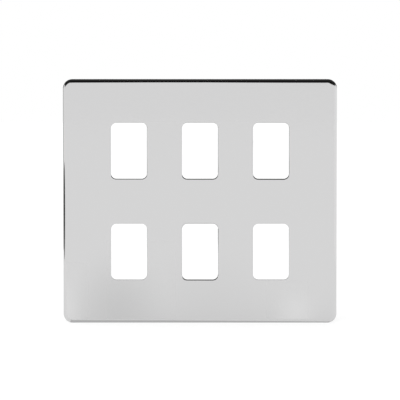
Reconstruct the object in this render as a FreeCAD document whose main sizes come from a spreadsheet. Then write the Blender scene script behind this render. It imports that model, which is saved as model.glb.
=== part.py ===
import FreeCAD, Part

import math
import os
from types import SimpleNamespace

import Sketcher
from FreeCAD import Vector

# Screwless grid switch plate for six rectangular switch modules, in two rows of three.
#
# The plate hangs on a wall. X runs to the right, Z up, and Y into the wall. The wall is the plane
# Y = 0, and the polished face looks towards -Y. The origin is the middle of the plate at the wall.
# From the front come the pressed face plate, the moulded clip frame that is bonded into its back,
# and the steel yoke that four screws hold to the wall box. The modules snap into the yoke.
#
# Every size below is in millimetres and is written once. The pieces share them, so what fits in,
# seats on or passes through another piece follows when a size changes.

SIZES = [
    ("aperture_width", 19.2, "opening for one module's rocker"),
    ("aperture_height", 30, "opening for one module's rocker"),
    ("aperture_corner_radius", 2.8, "corners of an opening"),
    ("aperture_edge_bevel", 0.25, "eased edge round an opening"),
    ("rocker_ledge_across", 1.7, "module beyond its rocker, each side"),
    ("rocker_ledge_up", 6, "module beyond its rocker, above and below"),
    ("column_count", 3, "modules in a row"),
    ("row_count", 2, "rows of modules"),
    ("column_gap", 15.5, "one module window to the next in a row"),
    ("row_gap", 12.2, "one row of module windows to the next"),
    ("side_border", 24.1, "outermost module window to the side of the plate"),
    ("end_border", 17.4, "outermost module window to the top or bottom of the plate"),
    ("plate_depth", 5, "wall to front face"),
    ("sheet_thickness", 1, "metal of the face plate"),
    ("plate_corner_radius", 5, "corners of the outline"),
    ("rim_bend_radius", 2, "outside of the bend from face to rim"),
    ("inner_bend_radius", 0.5, "inside of the same bend, which the press thins"),
    ("pry_notch_width", 12, "notch in the rim for lifting the plate off"),
    ("pry_notch_depth", 1.6, "the same, from the wall"),
    ("frame_clearance", 0.5, "clip frame to the inside of the rim"),
    ("frame_thickness", 1.2, "web of the clip frame"),
    ("frame_wall", 1.2, "skirt and window rims of the clip frame"),
    ("frame_setback", 0.4, "skirt short of the wall"),
    ("module_room_across", 0.7, "window of the clip frame beyond the module, each side"),
    ("module_room_up", 0.8, "the same, above and below"),
    ("frame_window_radius", 1.5, "corners of the clip frame's windows"),
    ("rib_thickness", 1, "stiffening ribs of the clip frame"),
    ("rib_clearance", 0.2, "low part of a rib to the beads of the yoke"),
    ("rib_shoulder", 0.8, "foot of a rib's slope beyond the edge of the yoke"),
    ("end_rib_offset", 8, "rib above or below a window, from the window's middle"),
    ("side_rib_offset", 15, "rib beside a window, from the window's middle"),
    ("hook_inset", 5, "yoke edge to the middle of a hook"),
    ("hook_width", 6, "snap hook, left to right"),
    ("hook_thickness", 1.3, "leg of a snap hook"),
    ("hook_root_flare", 0.8, "thickening of the leg where it leaves the web"),
    ("hook_play", 0.2, "hook in its slot, each side"),
    ("hook_catch", 0.8, "grip of the hook behind the yoke"),
    ("hook_end_play", 0.15, "hook's shoulder behind the yoke"),
    ("hook_land", 0.6, "thick part of the hook's nose"),
    ("hook_lead", 1.7, "tapered part of the hook's nose"),
    ("core_clearance", 0.3, "moulding window in the web beyond the hook's nose"),
    ("yoke_clearance", 4.8, "yoke to the skirt of the clip frame"),
    ("yoke_thickness", 1.2, "steel of the yoke"),
    ("yoke_corner_radius", 4, "corners of the yoke"),
    ("latch_notch_width", 7, "notch for a module's latch"),
    ("latch_notch_depth", 1.1, "the same, above and below the window"),
    ("bead_width", 3.6, "pressed stiffening bead, over its outside"),
    ("bead_height", 0.7, "the same, in front of the yoke"),
    ("bead_wall", 0.8, "side of a bead, from its outside to its groove"),
    ("row_bead_length", 18, "level beads between the rows"),
    ("side_bead_length", 36, "upright beads beside the rows"),
    ("fixing_inset_across", 13.2, "fixing screw to the side of the plate"),
    ("fixing_inset_up", 35.35, "fixing screw to the top or bottom of the plate"),
    ("fixing_slot_length", 7, "slot for levelling, end to end"),
    ("screw_diameter", 3.5, "fixing screw thread"),
    ("screw_clearance", 0.2, "fixing screw in its slot, each side"),
    ("screw_length", 20, "under the head"),
    ("screw_neck_diameter", 3.1, "plain part above a screw's thread"),
    ("screw_neck_length", 1.5, "the same, under the head"),
    ("screw_head_diameter", 7, "pan head"),
    ("screw_head_height", 2.1, "pan head"),
    ("screw_head_bevel", 0.9, "edge of the pan head"),
    ("screw_slot_width", 1, "driver slot"),
    ("screw_slot_depth", 0.9, "driver slot"),
    ("screw_tip_bevel", 0.6, "lead of the thread"),
    ("head_clearance", 0.5, "screw head to the clip frame, each side"),
    ("terminal_width", 9, "earth terminal block, left to right"),
    ("terminal_height", 8, "earth terminal block, bottom to top"),
    ("terminal_depth", 8, "earth terminal block, from the yoke back"),
    ("terminal_edge_bevel", 0.5, "edges of the block and of its screw's head"),
    ("wire_bore_diameter", 4, "hole for the earth wires"),
    ("wire_bore_inset", 3.2, "yoke to the middle of that hole"),
    ("spigot_diameter", 4, "riveted neck of the block"),
    ("spigot_head_diameter", 5.6, "riveted head in front of the yoke"),
    ("spigot_head_height", 0.7, "riveted head in front of the yoke"),
    ("rivet_clearance", 0.05, "rivets and spigot in their holes, each side"),
    ("terminal_screw_diameter", 3.5, "clamping screw thread"),
    ("terminal_screw_length", 5.5, "under the head"),
    ("terminal_screw_lift", 0.3, "its tip to the wire hole, backed out as supplied"),
    ("terminal_head_diameter", 6, "cheese head"),
    ("terminal_head_height", 2.4, "cheese head"),
    ("spring_width", 6, "earthing spring strip"),
    ("spring_thickness", 0.3, "earthing spring strip"),
    ("spring_foot_length", 9, "flat part on the yoke"),
    ("spring_arm_length", 8, "rising part, measured up the wall"),
    ("spring_tail_length", 4, "turned-back end, measured up the wall"),
    ("spring_tail_drop", 1.2, "turned-back end, away from the face"),
    ("spring_bend_radius", 2, "middle of the strip in its bends"),
    ("spring_contact_gap", 0.05, "crest of the spring to the face plate"),
    ("spring_window_clearance", 1, "spring to the clip frame, each side"),
    ("rivet_diameter", 2.4, "rivet through the spring's foot"),
    ("rivet_head_diameter", 4.4, "rivet's head on the spring"),
    ("rivet_head_height", 0.9, "rivet's head on the spring"),
    ("rivet_head_bevel", 0.5, "edge of the rivet's head"),
    ("rivet_tail_diameter", 3.6, "formed end behind the yoke"),
    ("rivet_tail_height", 0.6, "formed end behind the yoke"),
]


class Measure:
    """A size or a sum of sizes: the text that a feature is bound to, and the number it stands for."""

    def __init__(self, text, number):
        self.text = text
        self.number = number

    def joined(self, sign, other, number):
        """Write the sum of two measures, or of a measure and a plain number."""
        other_text = other.text if isinstance(other, Measure) else str(other)
        return Measure(f"({self.text} {sign} {other_text})", number)

    def __add__(self, other):
        return self.joined("+", other, self.number + plain(other))

    def __sub__(self, other):
        return self.joined("-", other, self.number - plain(other))

    def __mul__(self, other):
        return self.joined("*", other, self.number * plain(other))

    def __truediv__(self, other):
        return self.joined("/", other, self.number / plain(other))

    def __rmul__(self, other):
        return self * other

    def __neg__(self):
        return self * -1


def plain(measure):
    """Give the number of a measure, or a plain number as it is."""
    return measure.number if isinstance(measure, Measure) else measure


NOTHING = Measure("0", 0)
TWO = Measure("2", 2)
size = SimpleNamespace(**{name: Measure("Sizes." + name, number) for name, number, _ in SIZES})

# Sums that more than one piece needs. Depths are measured from the wall to the front.

module_width = size.aperture_width + 2 * size.rocker_ledge_across
module_height = size.aperture_height + 2 * size.rocker_ledge_up
column_pitch = module_width + size.column_gap
row_pitch = module_height + size.row_gap
first_column = (size.column_count - 1) * column_pitch / -2
first_row = (size.row_count - 1) * row_pitch / -2
plate_width = (size.column_count - 1) * column_pitch + module_width + 2 * size.side_border
plate_height = (size.row_count - 1) * row_pitch + module_height + 2 * size.end_border

face_back = size.plate_depth - size.sheet_thickness
frame_back = face_back - size.frame_thickness
frame_inset = size.sheet_thickness + size.frame_clearance
skirt_inset = frame_inset + size.frame_wall
frame_window_width = module_width + 2 * size.module_room_across
frame_window_height = module_height + 2 * size.module_room_up
yoke_width = plate_width - 2 * skirt_inset - 2 * size.yoke_clearance
yoke_height = plate_height - 2 * skirt_inset - 2 * size.yoke_clearance

fixing_across = plate_width / 2 - size.fixing_inset_across
fixing_up = plate_height / 2 - size.fixing_inset_up
fixing_slot_width = size.screw_diameter + 2 * size.screw_clearance
first_hook = size.column_count * column_pitch / -2
hook_level = yoke_height / 2 - size.hook_inset
hook_nose = size.hook_play + size.hook_catch

terminal_place = column_pitch / -2
terminal_screw_tip = size.wire_bore_inset + size.wire_bore_diameter / 2 + size.terminal_screw_lift
spring_place = column_pitch / 2
spring_length = size.spring_foot_length + size.spring_arm_length + size.spring_tail_length
spring_base = spring_length / -2
rivet_level = spring_base + size.spring_foot_length / 2

document = FreeCAD.newDocument("GridSwitchPlate")


def write_sizes():
    """Put each size on the sheet, with its name as alias and a note of what it measures."""
    sheet = document.addObject("Spreadsheet::Sheet", "Sizes")
    for row, (name, number, note) in enumerate(SIZES, start=1):
        sheet.set(f"A{row}", name)
        sheet.set(f"B{row}", str(number))
        sheet.set(f"C{row}", note)
        sheet.setAlias(f"B{row}", name)
    document.recompute()


def new_body(label):
    """Start a piece. Its label is the name of its file."""
    body = document.addObject("PartDesign::Body", label)
    body.Label = label
    return body


def origin_item(body, role):
    """Find one of the body's own axes or planes."""
    return next(item for item in body.Origin.OriginFeatures if item.Role == role)


def new_sketch(body, name, plane_role="XZ_Plane", lift=NOTHING):
    """Start a sketch on one of the body's own planes. A lift on XZ_Plane is towards the front."""
    sketch = body.newObject("Sketcher::SketchObject", name)
    sketch.AttachmentSupport = (origin_item(body, plane_role), [""])
    sketch.MapMode = "FlatFace"
    sketch.setExpression("AttachmentOffset.Base.z", lift.text)
    return sketch


def dimension(sketch, length, kind, *places):
    """Add a dimension to a sketch and bind it to a measure."""
    number = sketch.addConstraint(Sketcher.Constraint(kind, *places, length.number))
    sketch.setExpression(f"Constraints[{number}]", length.text)


def fix_point(sketch, geometry, position, across, up):
    """Dimension a point of the sketch from the sketch's origin."""
    dimension(sketch, across, "DistanceX", -1, 1, geometry, position)
    dimension(sketch, up, "DistanceY", -1, 1, geometry, position)


def draw_rounded_rectangle(sketch, width, height, radius, across=NOTHING, up=NOTHING):
    """Draw a rectangle with four equal round corners about a dimensioned middle point."""
    straight_across = width - 2 * radius
    straight_up = height - 2 * radius
    middle = Vector(across.number, up.number, 0)
    corners = [(-1, -1), (1, -1), (1, 1), (-1, 1)]
    arcs = []
    for quarter, (right, top) in enumerate(corners):
        reach = Vector(right * straight_across.number / 2, top * straight_up.number / 2, 0)
        start = math.pi * (1 + quarter / 2)
        circle = Part.Circle(middle + reach, Vector(0, 0, 1), radius.number)
        arcs.append(sketch.addGeometry(Part.ArcOfCircle(circle, start, start + math.pi / 2)))
    for quarter, arc in enumerate(arcs):
        next_arc = arcs[(quarter + 1) % 4]
        start = sketch.Geometry[arc].EndPoint
        end = sketch.Geometry[next_arc].StartPoint
        side = sketch.addGeometry(Part.LineSegment(start, end))
        sketch.addConstraint(Sketcher.Constraint("Tangent", arc, 2, side, 1))
        sketch.addConstraint(Sketcher.Constraint("Tangent", side, 2, next_arc, 1))
        direction = "Vertical" if quarter % 2 else "Horizontal"
        sketch.addConstraint(Sketcher.Constraint(direction, side))
    for arc in arcs[1:]:
        sketch.addConstraint(Sketcher.Constraint("Equal", arcs[0], arc))
    dimension(sketch, radius, "Radius", arcs[0])
    centre_point = sketch.addGeometry(Part.Point(middle), True)
    symmetry = Sketcher.Constraint("Symmetric", arcs[0], 3, arcs[2], 3, centre_point, 1)
    sketch.addConstraint(symmetry)
    fix_point(sketch, centre_point, 1, across, up)
    dimension(sketch, straight_across, "DistanceX", arcs[0], 3, arcs[1], 3)
    dimension(sketch, straight_up, "DistanceY", arcs[1], 3, arcs[2], 3)


def draw_slot(sketch, length, width, across, up, upright=False):
    """Draw a slot with half-round ends, level or upright."""
    straight = length - width
    radius = width / 2
    axis = Vector(0, 0, 1)
    along = Vector(0, 1, 0) if upright else Vector(1, 0, 0)
    aside = axis.cross(along) * radius.number
    middle = Vector(across.number, up.number, 0)
    first = middle - along * (straight.number / 2)
    last = middle + along * (straight.number / 2)
    turn = math.pi / 2 if upright else 0
    quarter = math.pi / 2
    first_circle = Part.Circle(first, axis, radius.number)
    last_circle = Part.Circle(last, axis, radius.number)
    first_end = Part.ArcOfCircle(first_circle, turn + quarter, turn + 3 * quarter)
    last_end = Part.ArcOfCircle(last_circle, turn - quarter, turn + quarter)
    first_arc = sketch.addGeometry(first_end)
    last_arc = sketch.addGeometry(last_end)
    right_side = sketch.addGeometry(Part.LineSegment(first - aside, last - aside))
    left_side = sketch.addGeometry(Part.LineSegment(last + aside, first + aside))
    sketch.addConstraint(Sketcher.Constraint("Tangent", first_arc, 2, right_side, 1))
    sketch.addConstraint(Sketcher.Constraint("Tangent", right_side, 2, last_arc, 1))
    sketch.addConstraint(Sketcher.Constraint("Tangent", last_arc, 2, left_side, 1))
    sketch.addConstraint(Sketcher.Constraint("Tangent", left_side, 2, first_arc, 1))
    sketch.addConstraint(Sketcher.Constraint("Vertical" if upright else "Horizontal", right_side))
    dimension(sketch, radius, "Radius", first_arc)
    if upright:
        fix_point(sketch, first_arc, 3, across, up - straight / 2)
        dimension(sketch, straight, "DistanceY", first_arc, 3, last_arc, 3)
    else:
        fix_point(sketch, first_arc, 3, across - straight / 2, up)
        dimension(sketch, straight, "DistanceX", first_arc, 3, last_arc, 3)


def draw_circle(sketch, diameter, across=NOTHING, up=NOTHING):
    """Draw a circle with its middle dimensioned from the sketch's origin."""
    centre = Vector(across.number, up.number, 0)
    circle = sketch.addGeometry(Part.Circle(centre, Vector(0, 0, 1), diameter.number / 2))
    dimension(sketch, diameter, "Diameter", circle)
    fix_point(sketch, circle, 3, across, up)


def draw_polygon(sketch, corners):
    """Draw a closed outline of straight sides, each corner dimensioned from the origin."""
    points = [Vector(across.number, up.number, 0) for across, up in corners]
    sides = []
    for start, end in zip(points, points[1:] + points[:1]):
        sides.append(sketch.addGeometry(Part.LineSegment(start, end)))
    for side, next_side in zip(sides, sides[1:] + sides[:1]):
        sketch.addConstraint(Sketcher.Constraint("Coincident", side, 2, next_side, 1))
    for side, (across, up) in zip(sides, corners):
        fix_point(sketch, side, 1, across, up)


def draw_rectangle(sketch, width, height, across=NOTHING, up=NOTHING):
    """Draw a plain rectangle about a middle point."""
    left = across - width / 2
    right = across + width / 2
    bottom = up - height / 2
    top = up + height / 2
    draw_polygon(sketch, [(left, bottom), (right, bottom), (right, top), (left, top)])


def draw_bent_line(sketch, corners, radius):
    """Draw an open line through dimensioned corners, with a round bend of one radius at each."""
    points = [Vector(across.number, up.number, 0) for across, up in corners]
    starts = [points[0]]
    ends = []
    arcs = []
    for before, corner, after in zip(points, points[1:], points[2:]):
        towards = (corner - before).normalize()
        onwards = (after - corner).normalize()
        turn = towards.getAngle(onwards)
        setback = radius.number * math.tan(turn / 2)
        first = corner - towards * setback
        last = corner + onwards * setback
        inward = (onwards - towards).normalize()
        middle = corner + inward * (radius.number * (1 / math.cos(turn / 2) - 1))
        arcs.append(Part.Arc(first, middle, last))
        ends.append(first)
        starts.append(last)
    ends.append(points[-1])
    lines = [sketch.addGeometry(Part.LineSegment(*pair)) for pair in zip(starts, ends)]
    bends = [sketch.addGeometry(arc) for arc in arcs]
    for bend, line, next_line, corner in zip(bends, lines, lines[1:], corners[1:]):
        near_start = (sketch.getPoint(bend, 1) - sketch.getPoint(line, 2)).Length
        near_end = (sketch.getPoint(bend, 2) - sketch.getPoint(line, 2)).Length
        first, last = (1, 2) if near_start < near_end else (2, 1)
        sketch.addConstraint(Sketcher.Constraint("Tangent", line, 2, bend, first))
        sketch.addConstraint(Sketcher.Constraint("Tangent", bend, last, next_line, 1))
        dimension(sketch, radius, "Radius", bend)
        place = Vector(corner[0].number, corner[1].number, 0)
        marker = sketch.addGeometry(Part.Point(place), True)
        sketch.addConstraint(Sketcher.Constraint("PointOnObject", marker, 1, line))
        sketch.addConstraint(Sketcher.Constraint("PointOnObject", marker, 1, next_line))
        fix_point(sketch, marker, 1, *corner)
    fix_point(sketch, lines[0], 1, *corners[0])
    fix_point(sketch, lines[-1], 2, *corners[-1])


def add_pad(body, name, sketch, length, to_wall=False, both_ways=False):
    """Raise a sketch to a solid, towards the front or towards the wall."""
    pad = body.newObject("PartDesign::Pad", name)
    pad.Profile = sketch
    pad.Reversed = to_wall
    pad.Midplane = both_ways
    pad.setExpression("Length", length.text)
    document.recompute()
    return pad


def add_pocket(body, name, sketch, depth=None, to_front=False):
    """Cut a sketch into the solid, to a depth or, without one, right through both ways."""
    pocket = body.newObject("PartDesign::Pocket", name)
    pocket.Profile = sketch
    if depth is None:
        pocket.Type = "ThroughAll"
        pocket.Midplane = True
    else:
        pocket.Reversed = to_front
        pocket.setExpression("Length", depth.text)
    document.recompute()
    return pocket


def repeat_along(body, name, axis_role, count, spacing):
    """Make one step of a pattern: copies at equal spacing along an axis."""
    step = body.newObject("PartDesign::LinearPattern", name)
    step.Mode = "Spacing"
    step.Direction = (origin_item(body, axis_role), [""])
    step.setExpression("Occurrences", count.text)
    step.setExpression("Offset", spacing.text)
    return step


def mirror_over(body, name, plane_role):
    """Make one step of a pattern: a mirror image over one of the body's planes."""
    step = body.newObject("PartDesign::Mirrored", name)
    step.MirrorPlane = (origin_item(body, plane_role), [""])
    return step


def add_pattern(body, name, features, steps):
    """Repeat features by a list of pattern steps, each applied to all the copies before it."""
    pattern = body.newObject("PartDesign::MultiTransform", name)
    pattern.Originals = features
    pattern.Transformations = steps
    body.Tip = pattern
    document.recompute()
    return pattern


def add_module_grid(body, name, features):
    """Repeat features at each module: along the row, then row by row."""
    columns = repeat_along(body, name + "_columns", "X_Axis", size.column_count, column_pitch)
    rows = repeat_along(body, name + "_rows", "Z_Axis", size.row_count, row_pitch)
    return add_pattern(body, name, features, [columns, rows])


def add_fixing_grid(body, name, feature):
    """Repeat a feature at the four fixing screws."""
    across = mirror_over(body, name + "_across", "YZ_Plane")
    up = mirror_over(body, name + "_up", "XY_Plane")
    return add_pattern(body, name, [feature], [across, up])


def add_hook_lines(body, name, features):
    """Repeat features along the hook line, and mirror the line from the top to the bottom."""
    line = repeat_along(body, name + "_line", "X_Axis", size.column_count + 1, column_pitch)
    mirror = mirror_over(body, name + "_mirror", "XY_Plane")
    return add_pattern(body, name, features, [line, mirror])


def edges_where(feature, wanted):
    """Name the edges of a feature that pass a test."""
    names = []
    for number, edge in enumerate(feature.Shape.Edges, start=1):
        if wanted(edge):
            names.append(f"Edge{number}")
    if not names:
        raise RuntimeError(f"{feature.Label} has no edge to dress")
    return names


def lies_at(edge, depth):
    """Say whether an edge lies wholly at a depth, which is measured from the wall to the front."""
    box = edge.BoundBox
    tolerance = 1e-4
    return abs(box.YMin + depth.number) < tolerance and abs(box.YMax + depth.number) < tolerance


def add_fillet(body, name, feature, edges, radius):
    """Round edges of a feature."""
    fillet = body.newObject("PartDesign::Fillet", name)
    fillet.Base = (feature, edges)
    fillet.setExpression("Radius", radius.text)
    document.recompute()
    return fillet


def add_chamfer(body, name, feature, edges, bevel):
    """Bevel edges of a feature."""
    chamfer = body.newObject("PartDesign::Chamfer", name)
    chamfer.Base = (feature, edges)
    chamfer.setExpression("Size", bevel.text)
    document.recompute()
    return chamfer


def turn_profile(body, name, sketch):
    """Turn a half profile about the line that runs from front to back."""
    turned = body.newObject("PartDesign::Revolution", name)
    turned.Profile = sketch
    turned.ReferenceAxis = (sketch, ["V_Axis"])
    turned.Angle = 360
    document.recompute()


def place_body(body, across, up=NOTHING):
    """Move a turned piece from the origin to its place on the yoke."""
    body.setExpression("Placement.Base.x", across.text)
    body.setExpression("Placement.Base.z", up.text)


def is_of_apertures(edge):
    """Say whether an edge is within the field of the openings, so not on the plate's outline."""
    tolerance = 0.01
    reach_across = (size.aperture_width / 2 - first_column).number + tolerance
    reach_up = (size.aperture_height / 2 - first_row).number + tolerance
    box = edge.BoundBox
    within_width = -reach_across < box.XMin and box.XMax < reach_across
    within_height = -reach_up < box.ZMin and box.ZMax < reach_up
    return within_width and within_height


def cut_pry_notch(body, inset):
    """Cut the notch for a screwdriver in the bottom wall of a tray, from its outside to an inset."""
    notch = new_sketch(body, "notch")
    draw_rectangle(notch, size.pry_notch_width, 2 * inset, NOTHING, plate_height / -2)
    add_pocket(body, "pry_notch", notch, size.pry_notch_depth, to_front=True)


def make_face_plate():
    """Pressed sheet-metal face: a shallow tray, open to the wall, with polished openings."""
    body = new_body("face_plate")
    outline = new_sketch(body, "outline")
    draw_rounded_rectangle(outline, plate_width, plate_height, size.plate_corner_radius)
    block = add_pad(body, "block", outline, size.plate_depth)
    front = edges_where(block, lambda edge: lies_at(edge, size.plate_depth))
    add_fillet(body, "rim_bend", block, front, size.rim_bend_radius)

    inside = new_sketch(body, "inside")
    inside_width = plate_width - 2 * size.sheet_thickness
    inside_height = plate_height - 2 * size.sheet_thickness
    inside_radius = size.plate_corner_radius - size.sheet_thickness
    draw_rounded_rectangle(inside, inside_width, inside_height, inside_radius)
    tray = add_pocket(body, "tray", inside, face_back, to_front=True)
    floor = edges_where(tray, lambda edge: lies_at(edge, face_back))
    add_chamfer(body, "inner_bend", tray, floor, size.inner_bend_radius)

    opening = new_sketch(body, "opening")
    draw_rounded_rectangle(
        opening,
        size.aperture_width,
        size.aperture_height,
        size.aperture_corner_radius,
        first_column,
        first_row,
    )
    aperture = add_pocket(body, "aperture", opening)
    apertures = add_module_grid(body, "apertures", [aperture])
    edges = edges_where(
        apertures, lambda edge: lies_at(edge, size.plate_depth) and is_of_apertures(edge)
    )
    add_chamfer(body, "aperture_edges", apertures, edges, size.aperture_edge_bevel)
    cut_pry_notch(body, size.sheet_thickness + size.frame_clearance / 2)
    return body


def add_frame_windows(body):
    """Give each module its window in the web, with a rim that reaches back to the yoke."""
    rim_outline = new_sketch(body, "rim_outline", lift=frame_back)
    rim_width = frame_window_width + 2 * size.frame_wall
    rim_height = frame_window_height + 2 * size.frame_wall
    draw_rectangle(rim_outline, rim_width, rim_height, first_column, first_row)
    rim = add_pad(body, "window_rim", rim_outline, frame_back - size.yoke_thickness, to_wall=True)
    window_outline = new_sketch(body, "window_outline")
    draw_rounded_rectangle(
        window_outline,
        frame_window_width,
        frame_window_height,
        size.frame_window_radius,
        first_column,
        first_row,
    )
    window = add_pocket(body, "window", window_outline)
    add_module_grid(body, "windows", [rim, window])


def add_frame_ribs(body):
    """Brace the skirt: ribs pass low over the yoke from the window rims and rise to the skirt."""
    web = -frame_back
    low = -(size.yoke_thickness + size.bead_height + size.rib_clearance)
    high = -size.frame_setback
    into_wall = size.frame_wall / 2

    rim_end = first_row - frame_window_height / 2 - into_wall
    slope_end = yoke_height / -2 - size.rib_shoulder
    skirt_end = plate_height / -2 + frame_inset + into_wall
    end_profile = new_sketch(body, "end_rib_profile", "YZ_Plane", first_column - size.end_rib_offset)
    draw_polygon(
        end_profile,
        [(web, rim_end), (low, rim_end), (low, slope_end), (high, skirt_end), (web, skirt_end)],
    )
    end_rib = add_pad(body, "end_rib", end_profile, size.rib_thickness, both_ways=True)
    pairs = repeat_along(body, "end_rib_pairs", "X_Axis", TWO, 2 * size.end_rib_offset)
    columns = repeat_along(body, "end_rib_columns", "X_Axis", size.column_count, column_pitch)
    mirror = mirror_over(body, "end_rib_mirror", "XY_Plane")
    add_pattern(body, "end_ribs", [end_rib], [pairs, columns, mirror])

    rim_side = first_column - frame_window_width / 2 - into_wall
    slope_side = yoke_width / -2 - size.rib_shoulder
    skirt_side = plate_width / -2 + frame_inset + into_wall
    side_profile = new_sketch(body, "side_rib_profile", "XY_Plane", first_row - size.side_rib_offset)
    draw_polygon(
        side_profile,
        [(rim_side, web), (rim_side, low), (slope_side, low), (skirt_side, high), (skirt_side, web)],
    )
    side_rib = add_pad(body, "side_rib", side_profile, size.rib_thickness, both_ways=True)
    pairs = repeat_along(body, "side_rib_pairs", "Z_Axis", TWO, 2 * size.side_rib_offset)
    rows = repeat_along(body, "side_rib_rows", "Z_Axis", size.row_count, row_pitch)
    mirror = mirror_over(body, "side_rib_mirror", "YZ_Plane")
    add_pattern(body, "side_ribs", [side_rib], [pairs, rows, mirror])


def add_snap_hooks(body):
    """Mould the snap hooks, each with the window in the web that lets its nose out of the mould."""
    inner = hook_level - size.hook_thickness / 2
    outer = hook_level + size.hook_thickness / 2
    nose = outer + hook_nose
    root = -frame_back
    shoulder = size.hook_end_play
    land = shoulder + size.hook_land
    tip = land + size.hook_lead
    profile = new_sketch(body, "hook_profile", "YZ_Plane", first_hook)
    draw_polygon(
        profile,
        [
            (root, inner - size.hook_root_flare),
            (root + size.hook_root_flare, inner),
            (tip, inner),
            (tip, outer),
            (land, nose),
            (shoulder, nose),
            (shoulder, outer),
            (root, outer),
        ],
    )
    hook = add_pad(body, "hook", profile, size.hook_width, both_ways=True)
    core_outline = new_sketch(body, "core_outline", lift=face_back)
    core_width = size.hook_width + 2 * size.core_clearance
    core_height = hook_nose + size.core_clearance
    draw_rectangle(core_outline, core_width, core_height, first_hook, outer + core_height / 2)
    core = add_pocket(body, "core_window", core_outline, size.frame_thickness)
    add_hook_lines(body, "hooks", [hook, core])


def make_clip_frame():
    """Moulded frame behind the face: web, skirt, rimmed windows, ribs and snap hooks."""
    body = new_body("clip_frame")
    width = plate_width - 2 * frame_inset
    height = plate_height - 2 * frame_inset
    corner_radius = size.plate_corner_radius - frame_inset
    outline = new_sketch(body, "web_outline", lift=face_back)
    draw_rounded_rectangle(outline, width, height, corner_radius)
    web = add_pad(body, "web", outline, size.frame_thickness, to_wall=True)
    front = edges_where(web, lambda edge: lies_at(edge, face_back))
    add_chamfer(body, "web_edge", web, front, size.inner_bend_radius)

    skirt_outline = new_sketch(body, "skirt_outline", lift=frame_back)
    draw_rounded_rectangle(skirt_outline, width, height, corner_radius)
    draw_rounded_rectangle(
        skirt_outline,
        width - 2 * size.frame_wall,
        height - 2 * size.frame_wall,
        corner_radius - size.frame_wall,
    )
    add_pad(body, "skirt", skirt_outline, frame_back - size.frame_setback, to_wall=True)
    add_frame_windows(body)
    add_frame_ribs(body)

    head_outline = new_sketch(body, "head_outline")
    head_width = size.screw_head_diameter + 2 * size.head_clearance
    head_length = head_width + size.fixing_slot_length - fixing_slot_width
    draw_slot(head_outline, head_length, head_width, fixing_across, fixing_up)
    head_room = add_pocket(body, "head_room", head_outline)
    add_fixing_grid(body, "head_rooms", head_room)

    spring_outline = new_sketch(body, "spring_outline")
    draw_rounded_rectangle(
        spring_outline,
        size.spring_width + 2 * size.spring_window_clearance,
        spring_length + 2 * size.spring_window_clearance,
        size.frame_window_radius,
        spring_place,
    )
    add_pocket(body, "spring_window", spring_outline)
    add_snap_hooks(body)
    cut_pry_notch(body, skirt_inset + size.yoke_clearance / 2)
    return body


def add_bead(body, name, length, across, up, upright=False):
    """Press one stiffening bead: a ridge on the front of the yoke and its groove behind."""
    ridge_outline = new_sketch(body, name + "_ridge_outline", lift=size.yoke_thickness)
    if upright:
        draw_rectangle(ridge_outline, size.bead_width, length, across, up)
    else:
        draw_rectangle(ridge_outline, length, size.bead_width, across, up)
    ridge = add_pad(body, name + "_ridge", ridge_outline, size.bead_height)
    groove_outline = new_sketch(body, name + "_groove_outline")
    groove_length = length - 2 * size.bead_wall
    groove_width = size.bead_width - 2 * size.bead_wall
    draw_slot(groove_outline, groove_length, groove_width, across, up, upright)
    groove = add_pocket(body, name + "_groove", groove_outline, size.bead_height, to_front=True)
    return [ridge, groove]


def make_grid_yoke():
    """Pressed steel yoke: windows with latch notches, levelling slots, hook slots and beads."""
    body = new_body("grid_yoke")
    outline = new_sketch(body, "yoke_outline")
    draw_rounded_rectangle(outline, yoke_width, yoke_height, size.yoke_corner_radius)
    add_pad(body, "blank", outline, size.yoke_thickness)

    module_outline = new_sketch(body, "module_outline")
    draw_rectangle(module_outline, module_width, module_height, first_column, first_row)
    window = add_pocket(body, "module_window", module_outline)
    latch_outline = new_sketch(body, "latch_outline")
    latch_height = module_height + 2 * size.latch_notch_depth
    draw_rectangle(latch_outline, size.latch_notch_width, latch_height, first_column, first_row)
    latch = add_pocket(body, "latch_notches", latch_outline)
    add_module_grid(body, "module_windows", [window, latch])

    row_bead = add_bead(
        body, "row_bead", size.row_bead_length, first_column, first_row + row_pitch / 2
    )
    columns = repeat_along(body, "row_bead_columns", "X_Axis", size.column_count, column_pitch)
    rows = repeat_along(body, "row_bead_rows", "Z_Axis", size.row_count - 1, row_pitch)
    add_pattern(body, "row_beads", row_bead, [columns, rows])
    side_bead = add_bead(
        body, "side_bead", size.side_bead_length, first_hook, NOTHING, upright=True
    )
    mirror = mirror_over(body, "side_bead_mirror", "YZ_Plane")
    add_pattern(body, "side_beads", side_bead, [mirror])

    slot_outline = new_sketch(body, "slot_outline")
    draw_slot(slot_outline, size.fixing_slot_length, fixing_slot_width, fixing_across, fixing_up)
    slot = add_pocket(body, "fixing_slot", slot_outline)
    add_fixing_grid(body, "fixing_slots", slot)

    hook_outline = new_sketch(body, "hook_outline")
    slot_width = size.hook_width + 2 * size.hook_play
    slot_height = size.hook_thickness + hook_nose + size.hook_play
    slot_level = hook_level + (size.hook_play - hook_nose) / 2
    draw_rectangle(hook_outline, slot_width, slot_height, first_hook, slot_level)
    hook_slot = add_pocket(body, "hook_slot", hook_outline)
    add_hook_lines(body, "hook_slots", [hook_slot])

    hole_outline = new_sketch(body, "hole_outline")
    draw_circle(hole_outline, size.spigot_diameter + 2 * size.rivet_clearance, terminal_place)
    draw_circle(
        hole_outline, size.rivet_diameter + 2 * size.rivet_clearance, spring_place, rivet_level
    )
    add_pocket(body, "rivet_holes", hole_outline)
    return body


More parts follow.
